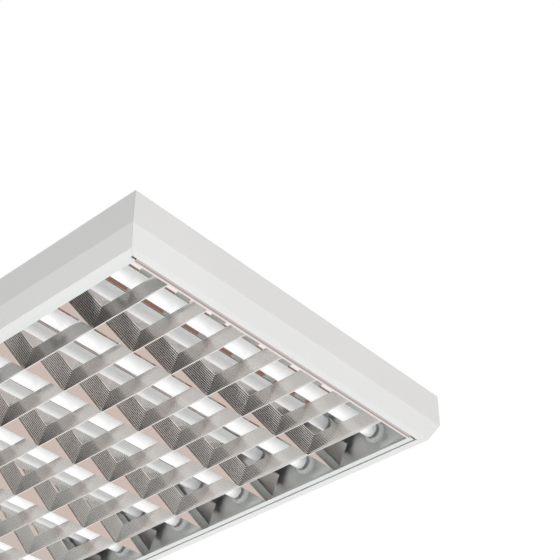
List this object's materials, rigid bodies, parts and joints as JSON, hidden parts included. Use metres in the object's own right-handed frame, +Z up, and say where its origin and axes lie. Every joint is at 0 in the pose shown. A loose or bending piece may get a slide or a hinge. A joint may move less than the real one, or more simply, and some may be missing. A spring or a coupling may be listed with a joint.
{
  "type": "louvered ceiling light",
  "caption": "Surface-mounted ceiling light for fluorescent tubes, with a white folded-steel body and a hinged louvre of mirror V reflectors and ribbed cross blades.",
  "frame": {"origin": "centre of the ceiling face, the top of the body", "axes": "+Z up into the ceiling, X along the tubes, Y across them"},
  "size_m": [0.64, 0.944, 0.079],
  "materials": {
    "white_steel": "satin white powder coat",
    "end_aluminium": "semi-bright sheet",
    "trough_mirror": "bright anodised mirror",
    "louvre_mirror": "bright anodised mirror",
    "ribbed_aluminium": "bright ribbed strip",
    "rail_white": "satin white powder coat",
    "holder_white": "moulded",
    "rotor_white": "moulded",
    "opal_glass": "coated white inside",
    "cap_metal": "pressed",
    "zinc_steel": "zinc plated",
    "spring_steel": "blued spring strip",
    "ballast_case": "moulded",
    "terminal_plastic": "moulded",
    "brass_stud": "turned",
    "grommet_rubber": "moulded",
    "wire_sleeve": "sleeved"
  },
  "bodies": {
    "housing": {"housing_trough": "white_steel", "side_plate_front": "white_steel", "side_plate_back": "white_steel", "end_reflector_hinge": "end_aluminium", "end_reflector_catch": "end_aluminium", "lampholders_hinge": "holder_white", "lampholders_catch": "holder_white", "reflector_hangers": "zinc_steel", "reflector_screws": "zinc_steel", "ballasts": "ballast_case", "ballast_studs": "zinc_steel", "terminal_block": "terminal_plastic", "earth_stud": "brass_stud", "cable_grommet": "grommet_rubber", "wiring": "wire_sleeve", "hinge_brackets": "zinc_steel", "catch_clips": "spring_steel", "lamp_reflector_1": "trough_mirror", "lamp_reflector_2": "trough_mirror", "lamp_reflector_3": "trough_mirror", "lamp_reflector_4": "trough_mirror", "lamp_reflector_5": "trough_mirror", "lamp_reflector_6": "trough_mirror"},
    "louvre": {"side_reflector_front": "louvre_mirror", "side_reflector_back": "louvre_mirror", "louvre_rail_hinge": "rail_white", "louvre_rail_catch": "rail_white", "hinge_pins": "zinc_steel", "v_reflector_1": "louvre_mirror", "v_reflector_2": "louvre_mirror", "v_reflector_3": "louvre_mirror", "v_reflector_4": "louvre_mirror", "v_reflector_5": "louvre_mirror", "cross_blade_1": "ribbed_aluminium", "cross_blade_2": "ribbed_aluminium", "cross_blade_3": "ribbed_aluminium", "cross_blade_4": "ribbed_aluminium", "cross_blade_5": "ribbed_aluminium", "cross_blade_6": "ribbed_aluminium", "cross_blade_7": "ribbed_aluminium"},
    "lamp_1": {"lamp_tube_1": "opal_glass", "lamp_caps_1": "cap_metal", "rotors_1": "rotor_white"},
    "lamp_2": {"lamp_tube_2": "opal_glass", "lamp_caps_2": "cap_metal", "rotors_2": "rotor_white"},
    "lamp_3": {"lamp_tube_3": "opal_glass", "lamp_caps_3": "cap_metal", "rotors_3": "rotor_white"},
    "lamp_4": {"lamp_tube_4": "opal_glass", "lamp_caps_4": "cap_metal", "rotors_4": "rotor_white"},
    "lamp_5": {"lamp_tube_5": "opal_glass", "lamp_caps_5": "cap_metal", "rotors_5": "rotor_white"},
    "lamp_6": {"lamp_tube_6": "opal_glass", "lamp_caps_6": "cap_metal", "rotors_6": "rotor_white"}
  },
  "joints": [
    {"name": "louvre_hinge", "type": "hinge", "parent": "housing", "child": "louvre", "pos_m": [-0.2874, 0, -0.071], "axis": [0, 1, 0], "range_deg": [0, 90]},
    {"name": "lamp_1_turn", "type": "hinge", "parent": "housing", "child": "lamp_1", "pos_m": [0, -0.3625, -0.029], "axis": [1, 0, 0], "range_deg": [0, 90]},
    {"name": "lamp_2_turn", "type": "hinge", "parent": "housing", "child": "lamp_2", "pos_m": [0, -0.2175, -0.029], "axis": [1, 0, 0], "range_deg": [0, 90]},
    {"name": "lamp_3_turn", "type": "hinge", "parent": "housing", "child": "lamp_3", "pos_m": [0, -0.0725, -0.029], "axis": [1, 0, 0], "range_deg": [0, 90]},
    {"name": "lamp_4_turn", "type": "hinge", "parent": "housing", "child": "lamp_4", "pos_m": [0, 0.0725, -0.029], "axis": [1, 0, 0], "range_deg": [0, 90]},
    {"name": "lamp_5_turn", "type": "hinge", "parent": "housing", "child": "lamp_5", "pos_m": [0, 0.2175, -0.029], "axis": [1, 0, 0], "range_deg": [0, 90]},
    {"name": "lamp_6_turn", "type": "hinge", "parent": "housing", "child": "lamp_6", "pos_m": [0, 0.3625, -0.029], "axis": [1, 0, 0], "range_deg": [0, 90]}
  ]
}
